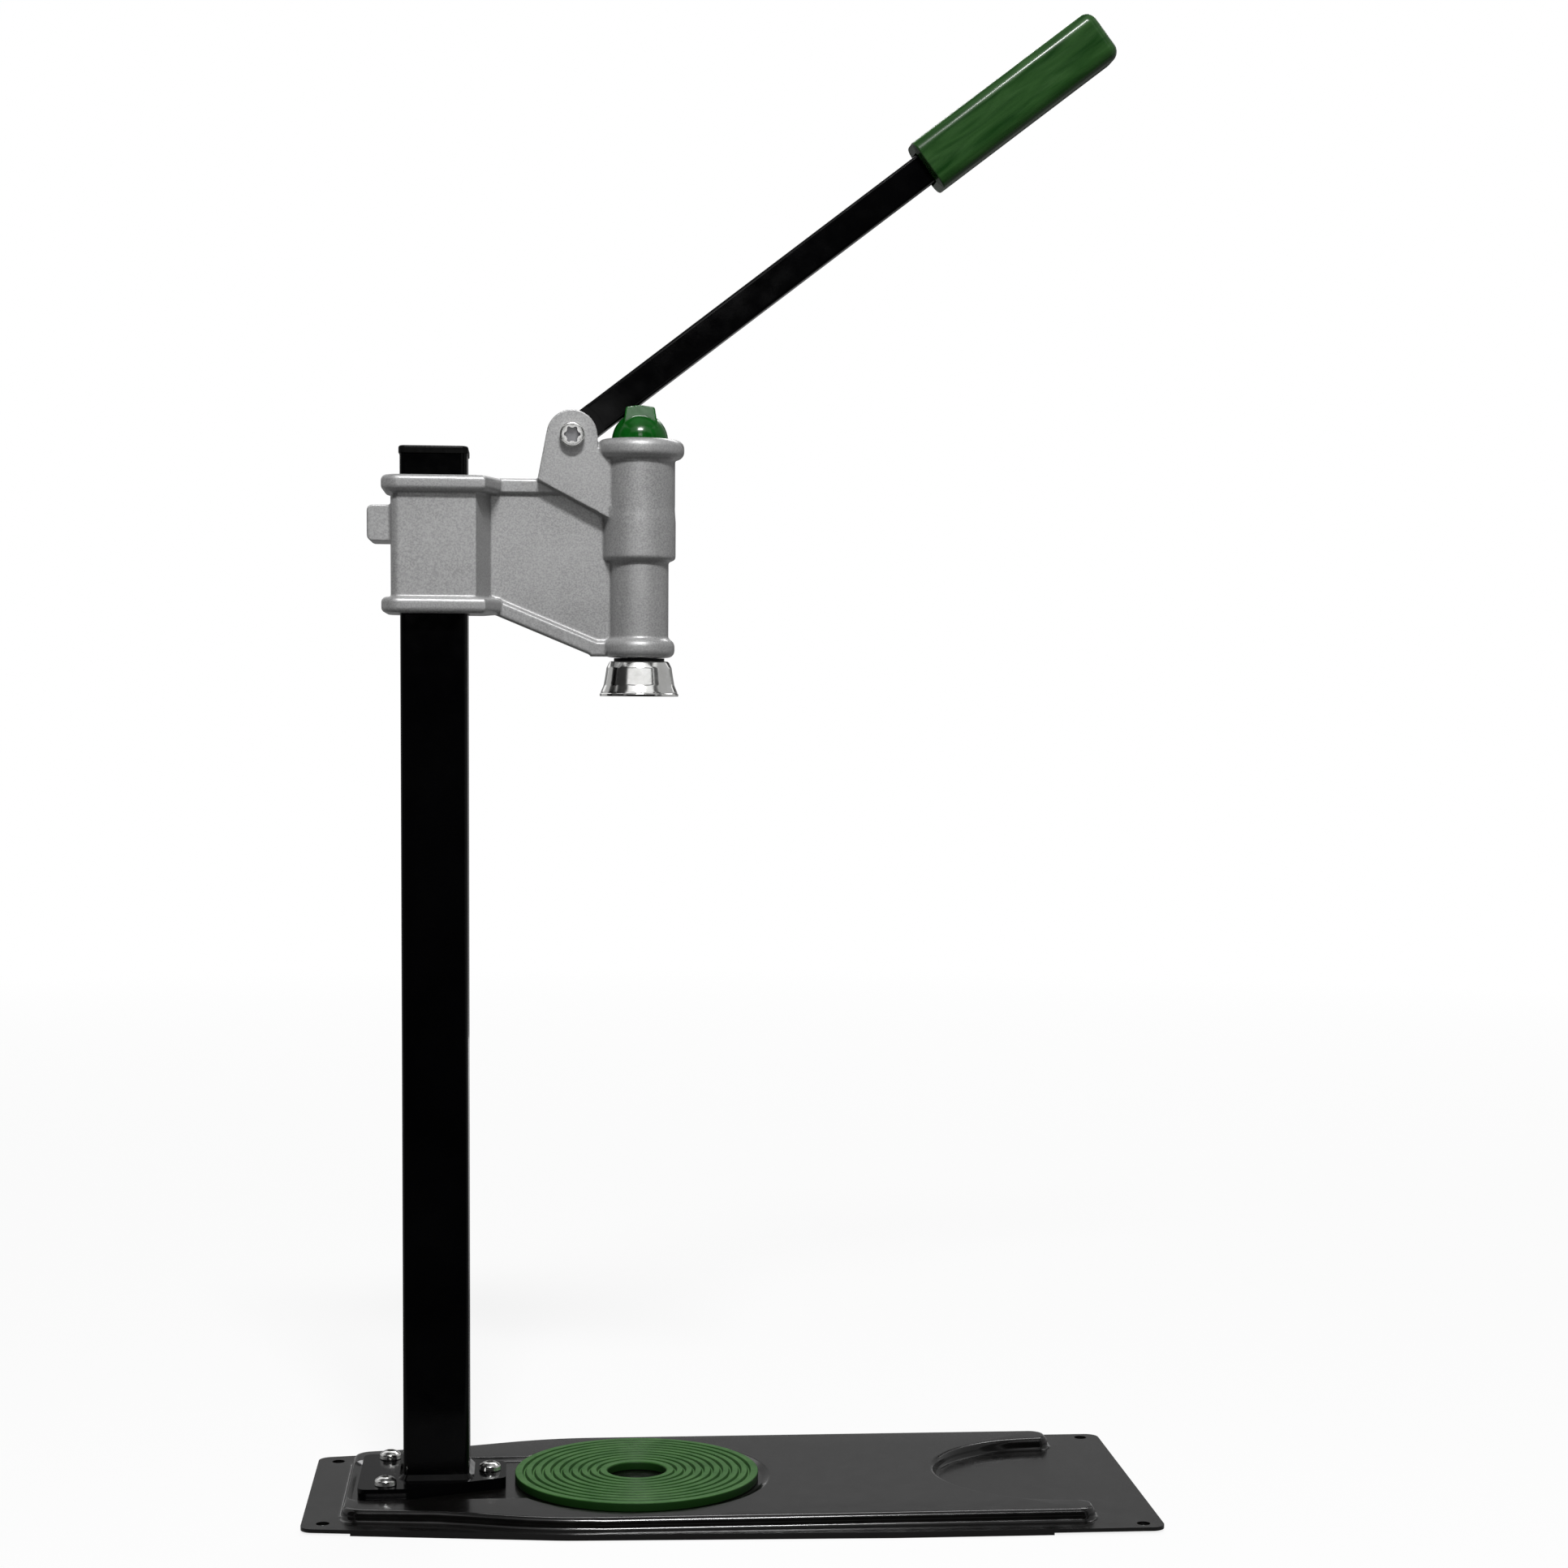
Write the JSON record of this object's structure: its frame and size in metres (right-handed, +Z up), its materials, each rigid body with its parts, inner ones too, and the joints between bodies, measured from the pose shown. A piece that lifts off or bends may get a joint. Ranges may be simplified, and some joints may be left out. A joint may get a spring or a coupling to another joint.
{
  "type": "bench bottle capper",
  "caption": "Bench bottle capper with pressed base, square column, sliding cast head, hand lever, spring-returned plunger and crimping bell for crown caps.",
  "frame": {"origin": "middle of the base's footprint, on the bench surface", "axes": "+Z up along the column; +X from the column to the free end of the base; +Y away from the side that the picture shows"},
  "size_m": [0.448, 0.189, 0.7918],
  "materials": {
    "base_paint": "satin",
    "black_paint": "satin",
    "silver_coat": "satin metallic powder coat",
    "zinc": "bright zinc",
    "bright_steel": "ground",
    "spring_steel": "satin",
    "chrome": "polished",
    "bronze": "turned",
    "magnet": "satin",
    "green_rubber": "matt",
    "black_rubber": "matt",
    "green_plastic": "glossy",
    "green_grip": "glossy",
    "black_plastic": "satin"
  },
  "bodies": {
    "base": {"base_plate": "base_paint", "foot_plate": "black_paint", "foot_screws": "zinc", "foot_washers": "zinc", "foot_nuts": "zinc", "column": "black_paint", "column_cap": "black_plastic", "bottle_pad": "green_rubber"},
    "head": {"head_casting": "silver_coat", "guide_bush_upper": "bronze", "guide_bush_lower": "bronze", "pivot_bolt": "zinc", "pivot_washer": "zinc", "pivot_nut": "zinc"},
    "lever": {"lever_root": "black_paint", "lever_bar": "black_paint", "lever_grip": "green_grip", "pivot_bush": "bronze"},
    "plunger": {"plunger_saddle": "green_plastic", "plunger_rod": "bright_steel", "spring_washer": "zinc", "return_spring": "spring_steel", "bell_buffer": "black_rubber", "bell": "chrome", "bell_magnet": "magnet"}
  },
  "joints": [
    {"name": "head_slide", "type": "slide", "parent": "base", "child": "head", "axis": [0, 0, 1], "range_m": [-0.401, 0.0105]},
    {"name": "lever_hinge", "type": "hinge", "parent": "head", "child": "lever", "pos_m": [-0.0838, 0, 0.5677], "axis": [0, 1, 0], "range_deg": [0, 29]},
    {"name": "plunger_slide", "type": "slide", "parent": "head", "child": "plunger", "axis": [0, 0, -1], "range_m": [0, 0.0163], "stiffness_N_per_m": 2600, "springref_m": -0.02, "deforming": ["return_spring"]}
  ],
  "couplings": [
    {"joint": "plunger_slide", "follows": "lever_hinge", "m_per_rad": 0.0322}
  ]
}
